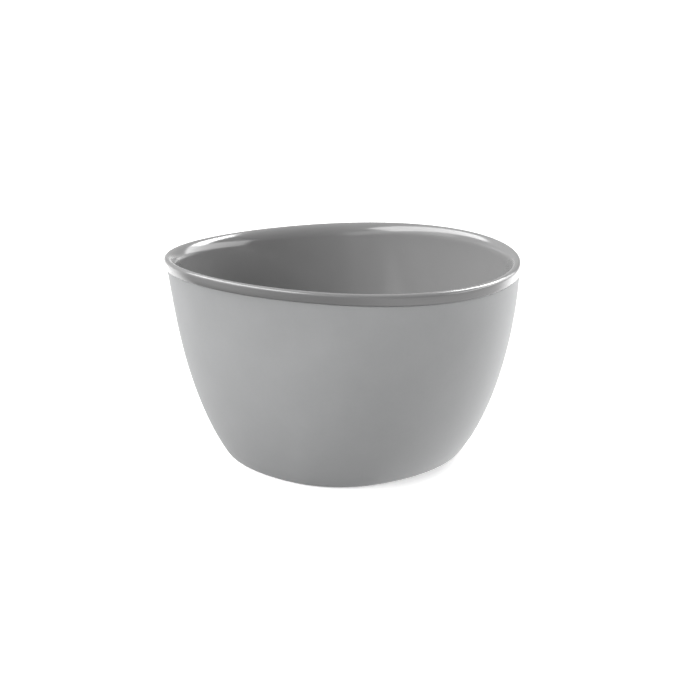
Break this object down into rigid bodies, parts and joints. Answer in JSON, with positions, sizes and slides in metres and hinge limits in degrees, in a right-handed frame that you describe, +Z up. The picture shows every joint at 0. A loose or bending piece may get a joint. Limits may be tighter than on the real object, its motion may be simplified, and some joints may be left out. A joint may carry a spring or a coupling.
{
  "type": "serving bowl",
  "caption": "Small soft-edged dip bowl on a three-lobed foot, with a matt outer shell and a glossy liner that rolls over its gently waved rim.",
  "frame": {"origin": "on the table, at the middle of the bowl's own box seen from above", "axes": "+Z up out of the bowl's mouth, +Y to the back, +X to the right"},
  "size_m": [0.1205, 0.1204, 0.0711],
  "materials": {
    "outer_shell": "fine matt melamine, neutral mid grey",
    "inner_liner": "polished gloss melamine, neutral grey"
  },
  "bodies": {
    "root": {"outer_shell": "outer_shell", "inner_liner": "inner_liner"}
  },
  "joints": []
}
